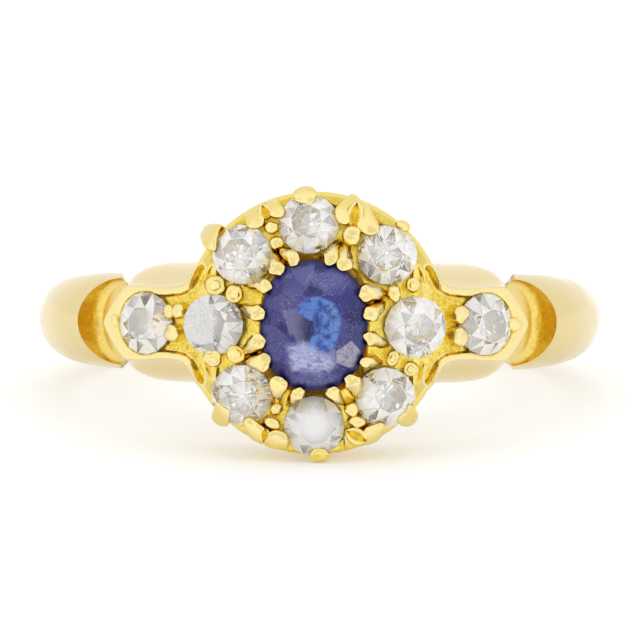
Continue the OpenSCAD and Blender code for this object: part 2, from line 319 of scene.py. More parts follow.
def finished(tree, build, ending):
    # empties a shader tree and fills it with what build returns
    tree.nodes.clear()
    end = tree.nodes.new(ending)
    tree.links.new(build(Graph(tree)).socket, end.inputs["Surface"])


def material(name, build):
    made = bpy.data.materials.new(name)
    made.use_nodes = True
    finished(made.node_tree, build, "ShaderNodeOutputMaterial")
    return made


# ---- finishes

goldLook = {
    # painted light: a brighter yellow for surfaces that look out of the head, and a darker, paler one for
    # surfaces that look aside
    "face": (0.93, 0.78, 0.35), "headSide": (0.78, 0.65, 0.355), "bandSide": (0.735, 0.60, 0.30),
    # painted shade: a duller, greener yellow for the rim outside the stones, and a brown for the tightest
    # creases with its reach and strength
    "olive": (0.80, 0.65, 0.215), "crease": (0.60, 0.41, 0.06), "creaseReach": 0.00014, "creaseDepth": 0.45,
    # hollows: painted shade, an amber where the occlusion node finds the gold closed in, in light and dark
    # marks of the graver; then the reach and range of that shade
    "headHollow": ((0.94, 0.76, 0.19), (0.82, 0.58, 0.05), 0.0009, (0.5, 0.96)),
    "bandHollow": ((0.88, 0.59, 0.015), (0.66, 0.40, 0.005), 0.0022, (0.35, 0.92)),
    # painted light on the lit floor of a scoop, and painted shade in the sunken beds of the plates, in dark and
    # light graver marks
    "scoopFloor": (0.76, 0.52, 0.025), "plateBed": ((0.64, 0.45, 0.05), (0.86, 0.67, 0.13)),
    # turn and stretch of the two sets of fine scratches
    "hairs": [((0.3, 0.5, 0.9), (0.08, 1, 1)), ((1.1, -0.4, -0.5), (1, 0.08, 1))],
    "scratch": 0.25, "smooth": 0.12, "worn": 0.24, "bumpStrength": 0.35, "bumpHeight": 0.000004,
}
# borders of the places of painted light and shade, in millimetres from the middle; those that end in 2 are
# squared
goldPlaces = {
    "scoopHeight": (4.0, 4.6), "scoopRadius2": (84.2, 85.4), "scoopSide2": (0.1, 1.2),
    "rimInner2": (16.2, 17.6), "rimOuter2": (23.6, 24.4), "rimFoot": (9.8, 10.4), "rimTop": (11.12, 11.22),
    "rimSide2": (3.2, 6.0), "bedTop": (-0.12, -0.05), "bedFoot": (-0.6, -0.5), "bedInner2": (14.4, 17.6),
}


def goldSurface(graph, piece):
    light, dark, reach, shade = goldLook[piece + "Hollow"]
    place = graph.add("ShaderNodeTexCoord", out=3)
    broad = graph.noise(place, 900.0, 3.0)
    fine = graph.noise(place, 9000.0, 6.0, 0.65)
    hairs = [graph.noise(graph.mapped(place, turn, stretch, "POINT"), 14000.0, 2.0)
             for turn, stretch in goldLook["hairs"]]
    marks = graph.noise(place, 4200.0, 4.0, 0.7, 1.5)
    marked = marks.between(0.38, 0.6)
    open_ = graph.openness(reach)
    normal = graph.add("ShaderNodeNewGeometry", out=1)
    facing = graph.dot(normal, layDown.to_3x3() @ Vector((0, 0, 1000)))
    x, y, z = onRing(graph)[1:]
    y2, aside = y * y, graph.parts(normal)[0] * x.sign()
    borders = goldPlaces
    # painted light: brighter yellow where a surface looks out of the head, darker and paler where it looks
    # aside
    colour = graph.mix(facing.between(0.6, 0.97), goldLook[piece + "Side"], goldLook["face"])
    # painted shade: hollows that the occlusion node finds closed in take an amber colour, in graver marks
    deep = graph.mix(marked, dark, light)
    sunk = open_.fading(*shade)
    if piece == "band":
        # the floor of a scoop is lit at its sides, and the wall behind it isn't
        lit = aside.between(-0.1, 0.5) * y2.between(*borders["scoopSide2"])
        deep = graph.mix(lit, deep, goldLook["scoopFloor"])
        sunk = sunk * z.between(*borders["scoopHeight"]) * (x * x + z * z).between(*borders["scoopRadius2"])
    else:
        # painted shade: the rim outside the stones, and its slopes that turn away from the face, take a duller,
        # greener yellow, broken by the graver marks
        r2 = x * x + y2
        rim = (r2.between(*borders["rimInner2"]) * r2.fading(*borders["rimOuter2"])
               * z.between(*borders["rimFoot"]) * y2.between(*borders["rimSide2"])
               * z.fading(*borders["rimTop"]).larger(facing.between(0.7, 0.93, 0.85, 0.0)))
        colour = graph.mix(rim * marks.between(0.3, 0.55, 0.55, 1.0), colour, goldLook["olive"])
        # painted shade: the sunken beds of the two plates take a darker amber in graver marks
        sine, cosine = sin(radians(ring["plateAngle"])), cos(radians(ring["plateAngle"]))
        height = x.size() * sine + z * cosine - ring["plateHeight"]
        bed = ((aside * sine + facing * cosine).between(0.9, 0.97) * height.fading(*borders["bedTop"])
               * height.between(*borders["bedFoot"]) * (x * x).between(*borders["bedInner2"]))
        deep = graph.mix(bed, deep, graph.mix(marked, *goldLook["plateBed"]))
        sunk = sunk.larger(bed)
    colour = graph.mix(sunk, colour, deep)
    # painted shade: the tightest creases, found by an occlusion node of short reach, darken towards a brown
    crease = graph.openness(goldLook["creaseReach"])
    colour = graph.mix(crease.between(0.1, 0.55, goldLook["creaseDepth"], 0.0), colour, goldLook["crease"])
    height = (fine * 0.3 + hairs[0].larger(hairs[1]).between(0.55, 0.8) * goldLook["scratch"] + broad * 2
              + marks * open_.between(0.4, 0.85, 6.0, 0.0))
    bump = graph.add("ShaderNodeBump", {
        "Strength": goldLook["bumpStrength"], "Distance": goldLook["bumpHeight"], "Height": height})
    return graph.principled({"Base Color": colour, "Metallic": 1.0, "Normal": bump,
                             "Roughness": broad.between(0.3, 0.7, goldLook["smooth"], goldLook["worn"])})


def onRing(graph):
    # millimetres in the ring's own frame, as a vector and its three parts
    place = graph.add("ShaderNodeTexCoord", out=3)
    where = graph.mapped(place, layDown.to_euler(), (0.001, 0.001, 0.001), shift=layDown.translation)
    return where, *graph.parts(where)


def spot(x, y, at, radius, soft, squash=1.0):
    # one inside a round patch of the head, nothing outside it
    dx, dy = x - at[0], (y - at[1]) * squash
    return (dx * dx + dy * dy).root().fading(radius - soft, radius + soft)


diamondLook = {
    "clear": (1.0, 0.99, 0.975), "white": (0.99, 0.975, 0.955), "grey": (0.36, 0.335, 0.32),
    "grainy": (0.60, 0.58, 0.565), "grain": (0.86, 0.85, 0.835), "hazy": (1.0, 1.0, 1.0), "index": 2.42,
    # painted light and shade: share of white and of grey facets of the crown, and how strongly they show
    "whiteShare": 0.6, "greyShare": 0.18, "whiteVeil": 0.65, "greyVeil": 0.7, "tableVeil": 0.25,
    # middle, radius and softness of the grainy stone and the hazy stone, and where the grain ends
    "grainyAt": ((-3.95, 0.05), 0.75, 0.05), "grainEnd": (-3.55, -3.5), "hazyAt": ((0.0, -3.5), 0.75, 0.5),
}


def diamondSurface(graph):
    # a clear body, veiled on each facet by painted white light or painted grey shade, in place of what it sends
    # back
    look = diamondLook
    where, x, y = onRing(graph)[:3]
    wear, grain = graph.noise(where, 4.0, 4.0), graph.noise(where, 22.0, 3.0)
    # one stone is grainy over its left half and the lowest one is hazy
    edge = x + (grain - 0.5) * 0.5
    grainy = spot(x, y, *look["grainyAt"]) * edge.fading(*look["grainEnd"])
    hazy = spot(x, y, *look["hazyAt"])
    colour = graph.mix(graph.attribute("tone"), look["grey"], look["white"])
    colour = graph.mix(hazy, colour, look["hazy"])
    colour = graph.mix(grainy, colour, graph.mix(grain.between(0.3, 0.7), look["grainy"], look["grain"]))
    face = graph.principled({"Base Color": colour, "IOR": look["index"], "Roughness": 0.2})
    body = graph.principled({"Base Color": (*look["clear"], 1), "IOR": look["index"],
                             "Transmission Weight": 1.0, "Roughness": wear.between(0.45, 0.8, 0.02, 0.08)})
    share = graph.attribute("veil").larger(hazy * 0.7).larger(grainy * 0.8)
    return graph.add("ShaderNodeMixShader", {0: share, 1: body, 2: face})


def facetLight(stone, seed, lighter=0.0):
    # paints on each facet of the crown a white or grey tone, as painted light or shade
    look, dice = diamondLook, random.Random(seed)
    tones, veils = [], []
    largest = max(face.area for face in stone.data.polygons if face.normal.z > 0)
    for face in stone.data.polygons:
        pick, lift = dice.random(), dice.uniform(0.0, 0.12)
        tone, veil = 1.0 - lift, 0.0
        if face.normal.z > 0.05:
            if face.area == largest:
                veil = look["tableVeil"] + lighter
            elif pick < look["whiteShare"]:
                veil = look["whiteVeil"] + lighter / 2
            elif pick < look["whiteShare"] + look["greyShare"]:
                tone, veil = 0.15 + lift, look["greyVeil"]
        tones.append(tone)
        veils.append(veil)
    for label, values in (("tone", tones), ("veil", veils)):
        stone.data.attributes.new(label, "FLOAT", "FACE").data.foreach_set("value", values)
    return stone


def inside(x, y, corners, soft):
    # one inside a straight sided patch, corners counter-clockwise
    result = None
    for (ax, ay), (bx, by) in zip(corners, corners[1:] + corners[:1]):
        length = hypot(bx - ax, by - ay)
        nx, ny = (ay - by) / length, (bx - ax) / length
        part = (x * nx + y * ny - (ax * nx + ay * ny)).between(-soft, soft)
        result = part if result is None else result.smaller(part)
    return result


sapphireLook = {
    "left": (0.036, 0.028, 0.205), "right": (0.030, 0.034, 0.22), "edge": (0.008, 0.006, 0.10),
    "haze": (0.17, 0.17, 0.42), "lit": (0.11, 0.25, 0.70), "lighter": (0.21, 0.33, 0.70),
    "speck": (0.035, 0.07, 0.32), "dim": (0.024, 0.024, 0.12), "grey": (0.19, 0.18, 0.32),
    "pale": (0.62, 0.66, 0.96), "square": (0.48, 0.44, 0.57), "inner": (0.16, 0.2, 0.85),
    # facets of painted light and shade, in millimetres from the middle of the head
    "litFacet": [(-0.586, 0.652), (-0.25, -0.5), (0.0, -0.9), (0.285, -1.056), (0.687, -0.788),
        (0.901, -0.252), (0.955, 0.217), (0.855, 0.619), (0.62, 0.853), (0.151, 1.034), (-0.385, 0.92)],
    "dimFacet": [(-1.02, 0.45), (-0.85, -0.12), (-0.55, -0.59), (-0.18, -0.55), (0.02, -0.25),
        (-0.01, 0.15), (-0.55, 0.42)],
    "fanFacet": [(-0.92, -0.72), (-0.75, -1.55), (0.2, -1.72), (0.76, -1.42), (0.6, -1.08), (0.05, -0.78),
        (-0.3, -0.55)],
    "squareFacet": [(0.79, -0.89), (0.79, -1.29), (1.36, -1.52), (1.68, -0.955), (1.32, -0.53)],
    "lightFacet": [(0.386, 0.351), (0.754, -0.252), (0.955, 0.083), (0.754, 0.619), (0.433, 0.92)],
    # smaller facets of painted light and shade: corners, colour and share
    "facets": [
        ([(-1.09, 0.52), (-0.82, -0.39), (-0.49, 0.35), (-0.59, 0.62)], "pale", 0.22),
        ([(-0.69, -0.72), (-0.55, -1.53), (0.15, -0.99), (-0.02, -0.39)], "pale", 0.25),
        ([(-1.12, 2.13), (-1.05, 1.76), (-0.18, 2.06), (-0.32, 2.26)], "edge", 0.6),
        ([(-0.85, 2.03), (-0.65, 1.62), (-0.25, 1.29), (0.02, 2.09)], "haze", 0.5),
        ([(1.02, 1.22), (1.15, -0.25), (1.83, -0.39), (1.83, 1.22)], "edge", 0.3),
        ([(-1.52, -1.19), (-1.26, -1.79), (-0.45, -2.06), (-0.69, -1.46)], "edge", 0.4),
        ([(0.15, -0.99), (0.49, -1.73), (0.79, -1.32), (0.75, -0.79)], "pale", 0.3)],
    # spots of haze with a painted sheen on them, and dark spots in the painted bright patch: middle, radius,
    # softness and flatness
    "darkTop": ((0.1, 0.15), 0.12, 0.07, 0.4), "darkSide": ((0.45, -0.38), 0.15, 0.1, 1.5),
    "hazeLow": ((0.05, -1.85), 0.8, 0.35, 2.8), "hazeHigh": ((0.5, 1.6), 0.6, 0.35, 2.2),
    "hazeLeft": ((-0.75, 0.95), 0.35, 0.3),
    # weights and power of the two directions in the dark outline of painted shade, and where it darkens
    "outline": (0.226, 0.139, 1.175), "outlineRange": (0.74, 0.93),
    "index": 1.77, "clearness": 0.28, "gloss": 0.05,
}


def sapphireSurface(graph):
    look = sapphireLook
    where, x, y, z = onRing(graph)
    cloud, fine = graph.noise(where, 1.7, 6.0, 0.65), graph.noise(where, 8.0, 6.0, 0.75)
    fanStreaks = graph.noise(graph.mapped(where, (0, 0, -0.25), (0.6, 0.22, 1.0)), 2.2, 8.0, 0.8, 1.4)
    hair = graph.noise(graph.mapped(where, (0, 0, 0.9), (1.3, 0.05, 1.0)), 1.0, 3.0, 0.5, 0.2)
    dust, blot = graph.noise(where, 20.0, 2.0), graph.noise(where, 3.2, 6.0, 0.75, 0.6)
    wobble = (cloud - 0.5) * 0.5 + (fine - 0.5) * 0.3
    normal = graph.add("ShaderNodeNewGeometry", out=3)
    facet, veil = graph.attribute("tone"), graph.attribute("veil")

    def slope(*way):
        # how far a facet faces this way in the head
        return graph.dot(normal, layDown.to_3x3() @ Vector((*way, 0)) * 1000)

    def over(colour, share, name):
        return graph.mix(share, colour, look[name])

    def patch(name, soft, aside=0.0, up=0.0):
        # a facet whose borders wander with these shares of the wobble
        return inside(x + wobble * aside, y + wobble * up, look[name], soft)

    def blob(name, aside=1.0, up=0.0):
        return spot(x + wobble * aside, y + wobble * up, *look[name])

    colour = graph.mix((x + wobble).between(-1.4, 0.9), look["left"], look["right"])
    # painted sheen: a hazy veil on facets that lean towards +Y and on the facets of light tone
    hazy = slope(-0.25, 0.95).between(0.1, 0.7) * cloud.between(0.4, 0.65, 0.0, 0.7)
    colour = over(colour, hazy.larger(facet.between(0.5, 0.6) * veil * 0.45), "haze")
    # painted shade: facets that face towards +X and -Y, and the grey facets, darken to the edge colour
    shaded = slope(0.5, -0.8).between(0.3, 0.7) * 0.5
    colour = over(colour, shaded.larger(facet.fading(0.4, 0.5) * veil * 0.7), "edge")
    # painted light and shade on the smaller facets
    for corners, name, share in look["facets"]:
        colour = over(colour, inside(x + wobble * 0.05, y, corners, 0.04) * share, name)
    # painted light and shade for what the back facets show through the table: a bright patch with dark specks,
    # a dim facet, a pale fan and a greyish lilac square
    dark = blot.between(0.43, 0.51, 0.85, 0.0)
    dark = dark.larger(blob("darkTop", 0.5, 0.4)).larger(blob("darkSide", 0.5, 0.5))
    light = patch("lightFacet", 0.06, 0.1, 0.1).larger(blot.between(0.5, 0.65)) * 0.7
    lit = over(graph.mix(light, look["lit"], look["lighter"]), dark, "speck")
    colour = graph.mix(patch("litFacet", 0.06, 0.2, 0.2) * fine.between(0.3, 0.5, 0.75, 1.0), colour, lit)
    dim = graph.mix((x + wobble * 0.6).between(-0.75, -0.12), look["grey"], look["dim"])
    colour = graph.mix(patch("dimFacet", 0.05, 0.15), colour, dim)
    colour = over(colour, patch("fanFacet", 0.16, 0.5, 0.6) * fanStreaks.between(0.39, 0.6, 0.2, 1.0), "pale")
    square = graph.mix(fine.between(0.35, 0.55), look["grey"], look["square"])
    colour = graph.mix(patch("squareFacet", 0.02), colour, square)
    # patches of haze, partly wear and partly painted sheen
    haze = blob("hazeLow").larger(blob("hazeHigh", 1.0, 0.5).larger(blob("hazeLeft", 1.0, 1.0) * 0.7))
    colour = over(colour, haze * fine.between(0.35, 0.6, 0.25, 0.95), "haze")
    # light dust and scratches on the worn crown
    dusty = dust.between(0.58, 0.7) * cloud.between(0.38, 0.62, 0.03, 0.42)
    colour = over(colour, dusty.larger(hair.between(0.66, 0.72) * 0.22), "pale")
    # painted shade: a dark outline round the stone's border
    wide, long, power = look["outline"]
    outline = (x * x) ** power * wide + (y * y) ** power * long + wobble * 0.08 + x * 0.02 - y * 0.015
    colour = over(colour, outline.between(*look["outlineRange"]), "edge")
    colour = over(colour, z.fading(ring["centreHeight"] - 0.1, ring["centreHeight"] - 0.04), "inner")
    return graph.principled({
        "Base Color": colour, "IOR": look["index"], "Specular IOR Level": look["gloss"],
        "Transmission Weight": look["clearness"], "Roughness": fine.between(0.4, 0.7, 0.05, 0.2)})


gold = material("wornGold", lambda graph: goldSurface(graph, "head"))
bandGold = material("wornGoldBand", lambda graph: goldSurface(graph, "band"))
clearStone = material("oldDiamond", diamondSurface)
blueStone = material("paleSapphire", sapphireSurface)
print("finishes made")


# ---- band

band = {
    "sweep": {
        "along": 520, "around": 72, "startAngle": 16.0, "fingerRadius": ring["fingerRadius"],
        "neckWidth": 2.75, "shoulderWidth": 3.42, "sideWidth": 3.0, "backWidth": 2.2,
        "shoulderThickness": 1.8, "sideThickness": 1.65, "backThickness": 1.3, "edgeHeight": 0.18},
    # degrees from the head, or millimetres from the middle, over which it changes
    "toSide": (54.0, 90.0), "toBack": (88.0, 138.0), "toShoulder": (60.0, 62.0), "shoulderReach": (6.74, 6.98),
    # share of the section's points that lie on the flat inside
    "floorShare": 0.25,
    "scoopAngle": 47.3, "scoopRadius": 1.52, "scoopHalf": 1.63, "scoopFloor": 0.75, "scoopWide": 2.6,
    # height over the floor and how far the wall stands in there
    "scoopWall": [(0.0, 0.3), (0.04, 0.18), (0.11, 0.09), (0.22, 0.03), (0.36, 0.0), (1.0, -0.05),
                  (1.35, -0.12), (2.2, -0.4), (4.0, -0.4)],
}


def buildBand(graph, given):
    # a grid is bent into the half-round band, with its first and last rows drawn in to close it
    grid = graph.add("GeometryNodeMeshGrid", {
        "Size X": 1.0, "Size Y": 1.0, "Vertices X": given.along, "Vertices Y": given.around})
    u, v = (part + 0.5 for part in graph.parts(graph.add("GeometryNodeInputPosition"))[:2])
    turn = given.startAngle + (360 - 2 * given.startAngle) * u
    fromHead = turn.smaller(360 - turn)
    toSide, toBack = fromHead.between(*band["toSide"]), fromHead.between(*band["toBack"])
    thick = (given.shoulderThickness + (given.sideThickness - given.shoulderThickness) * toSide
             + (given.backThickness - given.sideThickness) * toBack)
    flat = band["floorShare"]
    inner = (v * (1 / flat)).smaller(1.0)
    arch = ((v - flat) / (1 - flat)).larger(0.0) * pi
    onArch = v.above(flat - 0.0001) * v.below(0.9999)
    radius = given.fingerRadius + onArch * (given.edgeHeight + (thick - given.edgeHeight) * arch.sine())
    # it widens straight across the hand, so its end stands clear of the shoulder
    angle = turn * (pi / 180)
    reach = (radius * angle.sine()).size()
    toShoulder = reach.between(*band["shoulderReach"]).larger(fromHead.between(*band["toShoulder"]))
    width = (given.neckWidth + (given.shoulderWidth - given.neckWidth) * toShoulder
             + (given.sideWidth - given.shoulderWidth) * toSide
             + (given.backWidth - given.sideWidth) * toBack) * 0.5
    across = width * (arch.cosine() - 2.0 + inner * 2.0)
    # the end rows shrink to the middle of the section
    step = (given.along - 1.0) ** -1.0
    keep = u.above(step * 0.5) * u.below(1.0 - step * 0.5)
    radius = radius * keep + (given.fingerRadius + thick * 0.4) * (1 - keep)
    place = graph.add("ShaderNodeCombineXYZ", {
        0: radius * angle.sine(), 1: across * keep, 2: radius * angle.cosine()})
    bent = graph.add("GeometryNodeSetPosition", {"Geometry": grid, "Position": place})
    return graph.add("GeometryNodeMergeByDistance", {"Geometry": bent, "Distance": 0.00002})


bandTree = geometryTree("bandSweep", {key: type(value) for key, value in band["sweep"].items()}, buildBand)
bandSolid = rightWay(grow(addMesh("band", [], []), bandTree, **band["sweep"], material=gold))
print("band swept", len(bandSolid.data.polygons))


def onShoulder(side, angle, height):
    turn = Matrix.Identity(4) if side > 0 else Matrix.Rotation(pi, 4, "Z")
    return Matrix.Rotation(side * radians(angle), 4, "Y") @ Matrix.Translation((0, 0, height)) @ turn


def onPlate(side, sunk=0.0):
    return onShoulder(side, ring["plateAngle"], ring["plateHeight"] - sunk)


def scoopCutter(side):
    # a round end that opens towards the head, with a hollowed foot to its wall
    long, half, wide, rings = band["scoopRadius"], band["scoopHalf"], band["scoopWide"], []
    for z, stand in band["scoopWall"]:
        arc = [(radians(a), long - stand, half - stand) for a in range(-90, 91, 5)]
        row = [(-2 * long, -wide), (0, -wide)] + [(u * cos(a), v * sin(a)) for a, u, v in arc]
        rings.append([(x, y, z) for x, y in row + [(0, wide), (-2 * long, wide)]])
    cutter = loft("scoop", rings, hub=(-long / 2, 0))
    return moved(cutter, onShoulder(side, band["scoopAngle"], ring["fingerRadius"] + band["scoopFloor"]))


carve(bandSolid, scoopCutter(1), scoopCutter(-1))
print("band scooped", len(bandSolid.data.polygons))

# ---- shoulders and head

shoulder = {
    "rise": 2.6, "rim": 0.27, "wellDepth": 0.2, "wellSpan": (-2.75, -0.1), "stone": 2.24, "stoneSunk": 0.08,
    # edge of the flat top and of the foot, from the head to the point
    "topEdge": [(-3.1, 2.66), (-2.8, 2.52), (-2.45, 2.32), (-2.17, 2.08), (-1.96, 1.72), (-1.75, 1.45),
        (-1.45, 1.32), (-0.9, 1.27), (-0.3, 1.29), (0.3, 1.33), (0.8, 1.31), (1.05, 1.15), (1.3, 0.84),
        (1.55, 0.5), (1.71, 0.24), (1.79, 0.0)],
    "footEdge": [(-3.1, 2.85), (-2.9, 2.7), (-2.6, 2.5), (-2.4, 2.38), (-2.1, 2.3), (-1.8, 2.27),
        (-1.4, 2.19), (-0.8, 2.15), (-0.2, 2.13), (0.4, 2.12), (1.0, 2.05), (1.5, 1.83), (1.98, 1.3),
        (2.3, 0.88), (2.5, 0.45), (2.58, 0.0)],
    # depth and spread from the top edge to the foot
    "flare": [(0.0, 0.0), (0.03, 0.0), (0.09, 0.03), (0.18, 0.14), (0.27, 0.3), (0.37, 0.5), (0.48, 0.68),
        (0.6, 0.82), (0.75, 0.93), (1.0, 1.0), (1.6, 1.0)],
}


def edgeRing(rows, steps=60):
    half = curveThrough([(u, v, 0) for u, v in rows], steps)
    half[-1].y = 0.0
    return half + [Vector((p.x, -p.y, 0)) for p in reversed(half[:-1])]


def inset(line, amount):
    # the outline moved inwards, its two ends at the head kept open
    result = []
    for i, p in enumerate(line):
        way = (line[min(i + 1, len(line) - 1)] - line[max(i - 1, 0)]).normalized()
        result.append(p + Vector((way.y, -way.x, 0)) * amount)
    return result


topRing, footRing = edgeRing(shoulder["topEdge"]), edgeRing(shoulder["footEdge"])


def shoulderSolid(side):
    flare = curveThrough([(depth, spread, 0) for depth, spread in shoulder["flare"]], 24)
    rings = []
    for step in reversed(flare):
        rings.append([(a.x + (b.x - a.x) * step.y, a.y + (b.y - a.y) * step.y, -step.x * shoulder["rise"])
                      for a, b in zip(topRing, footRing)])
    return moved(loft("shoulder", rings), onPlate(side))


def wellCutter(side):
    # sunken bed inside the rim, which runs on beside the head as a groove
    start, end = shoulder["wellSpan"]
    outer = [p for p in inset(topRing, shoulder["rim"]) if start < p.x < end]
    rings = [[(p.x, p.y, z) for p in outer] for z in (-shoulder["wellDepth"], 1.5)]
    return moved(loft("well", rings), onPlate(side))


head = {
    "bedDrop": 0.4, "rimWidth": 0.55, "drawnIn": 0.07, "shift": 0.06, "skirt": 0.3,
    "wall": [(0.985, 0.72), (0.91, 0.5), (0.85, 0.2), (0.83, 0.0)],
    # how far in from the inside and the outside of the rim, and how deep under it
    "rimInside": [(0.0, 0.14), (0.08, 0.04)], "rimOutside": [(0.1, 0.04), (0.03, 0.1), (0.0, 0.24), (0.0, 0.5)],
    # growth and height of the collar's foot
    "collarFoot": [(0.3, 0.0), (0.2, 0.3), (0.06, 0.45), (0.0, 0.6)], "collarWall": -0.08, "collarDrop": 0.34,
    "smallStone": 2.14, "stoneGap": -0.01, "smallHole": 0.56, "centreHole": 1.4, "seatSlope": 1.11,
    "crown": 0.17, "depth": 0.45, "girdle": 0.06, "centreCrown": 0.95, "centreDepth": 1.9, "centreGirdle": 0.09,
    "voxel": 0.056, "softening": 3, "keptFaces": 0.52,
}
# angle, size and turn of each stone of the circle, clockwise from the top
smallStones = [(93.5, 1.00, 11), (44.0, 0.99, 31), (-1.0, 1.02, 8), (-45.5, 1.00, 24),
               (-90.0, 1.01, 3), (-136.0, 1.01, 17), (180.0, 1.01, 28), (136.0, 0.99, 6)]
# those stones whose seats reach down through the ends of the band, and the two in the plates
throughBand = (2, 6, 8, 9)


def circleHeight(r, lift=0.0):
    # height of the slope on which the small stones lie
    return ring["girdleHeight"] + lift - (r - ring["stoneCircle"]) * tan(radians(ring["stoneTilt"]))


def cushionRadius(angle, extra=0.0):
    power = ring["squareness"]
    c, s = abs(cos(angle)), abs(sin(angle))
    return ((c / (ring["centreWidth"] / 2 + extra)) ** power
            + (s / (ring["centreLength"] / 2 + extra)) ** power) ** (-1 / power)


def cushionRing(scale, extra, z):
    sizes = [(scale * cushionRadius(a, extra), a) for a in around(96)]
    return [(size * cos(a), size * sin(a), z) for size, a in sizes]


def headCup():
    outer, rim, base = ring["headRadius"] - head["drawnIn"], ring["rimHeight"], ring["fingerRadius"]
    inner, foot = outer - head["rimWidth"], outer * head["wall"][-1][0]
    skirt = base - sqrt(base * base - foot * foot) + head["skirt"]
    profile = [(max(r, 0.001), circleHeight(r, -head["bedDrop"])) for r in (0, 1.5, inner - 0.12)]
    profile += [(inner + aside, rim - down) for aside, down in head["rimInside"]]
    profile += [(outer - aside, rim - down) for aside, down in head["rimOutside"]]
    profile += [(outer * share, base + up * (rim - base)) for share, up in head["wall"]]
    profile += [(foot, base - skirt), (0.001, base - skirt)]
    return moved(turnedSolid("cup", profile, 144), Matrix.Translation((0, head["shift"], 0)))


def collarSolid():
    foot = circleHeight(ring["centreLength"] / 2, -head["bedDrop"]) - 0.3
    top = ring["centreHeight"] - head["collarDrop"]
    rows = [(grown, foot + up) for grown, up in head["collarFoot"]] + [(0, top - 0.03), (-0.03, top)]
    return loft("collar", [cushionRing(1, head["collarWall"] + grown, z) for grown, z in rows])


def roundSeat(size, drop):
    r, hole = size / 2 + head["stoneGap"], head["smallHole"]
    girdle = head["girdle"] / 2 + head["stoneGap"]
    slope = head["depth"] * 2 * head["seatSlope"]
    return turnedSolid("seat", [(0.001, -drop), (hole, -drop), (hole, -girdle - (r - hole) * slope),
                                (r, -girdle), (r, girdle + 0.6), (0.001, girdle + 0.6)], 64)


def atStone(i):
    return (Matrix.Rotation(radians(smallStones[i][0]), 4, "Z")
            @ Matrix.Translation((ring["stoneCircle"], 0, ring["girdleHeight"]))
            @ Matrix.Rotation(radians(ring["stoneTilt"]), 4, "Y"))


def centreSeat():
    gap, z = head["stoneGap"], ring["centreHeight"]
    girdle = head["centreGirdle"] / 2 + gap
    rows = ((0.35, z - girdle - head["centreDepth"] * 0.752), (1, z - girdle), (1, z + 1.5))
    return loft("centreSeat", [cushionRing(scale, gap, height) for scale, height in rows])


def tube(r, start, end, matrix=Matrix.Identity(4)):
    return moved(turnedSolid("tube", [(0.001, start), (r, start), (r, end), (0.001, end)], 128), matrix)


headSolid = headCup()
weld(headSolid, collarSolid(), shoulderSolid(1), shoulderSolid(-1))
carve(headSolid, wellCutter(1), wellCutter(-1))
print("head welded", len(headSolid.data.polygons))
seats = [moved(roundSeat(head["smallStone"] * row[1], 4.0), atStone(i)) for i, row in enumerate(smallStones)]
seats += [moved(roundSeat(shoulder["stone"], 3.5), onPlate(side, shoulder["stoneSunk"])) for side in (1, -1)]
for i in throughBand:
    carve(bandSolid, placed("seat", seats[i].data.copy()))
dressed(bandSolid, "band", bandGold, smooth=35, stands=["gold_mount"])
carve(headSolid, *seats)
carve(headSolid, centreSeat(), tube(head["centreHole"], 4, ring["centreHeight"] - 0.4),
      tube(ring["fingerRadius"], -12, 12, Matrix.Rotation(pi / 2, 4, "X")))
print("head carved", len(headSolid.data.polygons))
for kind, settings in (("REMESH", {"mode": "VOXEL", "voxel_size": head["voxel"]}),
                       ("SMOOTH", {"factor": 0.5, "iterations": head["softening"]}),
                       ("DECIMATE", {"ratio": head["keptFaces"]})):
    step = headSolid.modifiers.new(kind, kind)
    for key, value in settings.items():
        setattr(step, key, value)
bake(headSolid)
print("head softened", len(headSolid.data.polygons))
dressed(headSolid, "head", gold, smooth=180)

# ---- claws and beads

def settingTips(graph, given):
    # sets the shape on every point, each a little different in size and turn
    def attribute(name):
        return graph.add("GeometryNodeInputNamedAttribute", {"Name": name}, data_type="FLOAT")

    def chance(spread, offset):
        return graph.add("FunctionNodeRandomValue", {2: spread * -1.0, 3: spread, 8: given.seed + offset},
                         1, data_type="FLOAT")
    turn = attribute("turn") + chance(given.turnJitter, 0.0)
    size = attribute("grow") * (chance(given.sizeJitter, 50.0) + 1.0)
    rotation = graph.add("ShaderNodeCombineXYZ", {1: chance(given.turnJitter, 90.0) * 0.4, 2: turn})
    scale = graph.add("ShaderNodeCombineXYZ", {0: size, 1: size * attribute("broad"), 2: size})
    shape = graph.add("GeometryNodeObjectInfo", {"Object": given.shape}, out=4)
    tips = graph.add("GeometryNodeInstanceOnPoints", {
        "Points": given.geometry, "Instance": shape, "Rotation": rotation, "Scale": scale})
    tips = graph.add("GeometryNodeRealizeInstances", {"Geometry": tips})
    dent = graph.add("ShaderNodeTexNoise", {"Scale": 3.1, "Detail": 1.0}, out=1)
    dent = graph.add("ShaderNodeVectorMath", {0: dent, 1: (0.5, 0.5, 0.5)}, operation="SUBTRACT")
    dent = graph.add("ShaderNodeVectorMath", {0: dent, "Scale": given.wear}, operation="SCALE")
    return graph.add("GeometryNodeSetPosition", {"Geometry": tips, "Offset": dent})


tipTree = geometryTree("settingTips", {"shape": "object", "sizeJitter": float, "turnJitter": float,
                                       "seed": int, "wear": float}, settingTips)


def scatter(name, shape, rows, look, further=0):
    # rows are point, turn in radians, size and breadth
    spots = addMesh(name, [row[0] for row in rows], [])
    for column, label in enumerate(("turn", "grow", "broad"), 1):
        layer = spots.data.attributes.new(label, "FLOAT", "POINT")
        layer.data.foreach_set("value", [float(row[column]) for row in rows])
    grow(spots, tipTree, shape=shape, material=gold, sizeJitter=look["sizeJitter"],
         turnJitter=look["turnJitter"], seed=look["seed"] + further, wear=look["wear"])
    discard(shape)
    return spots


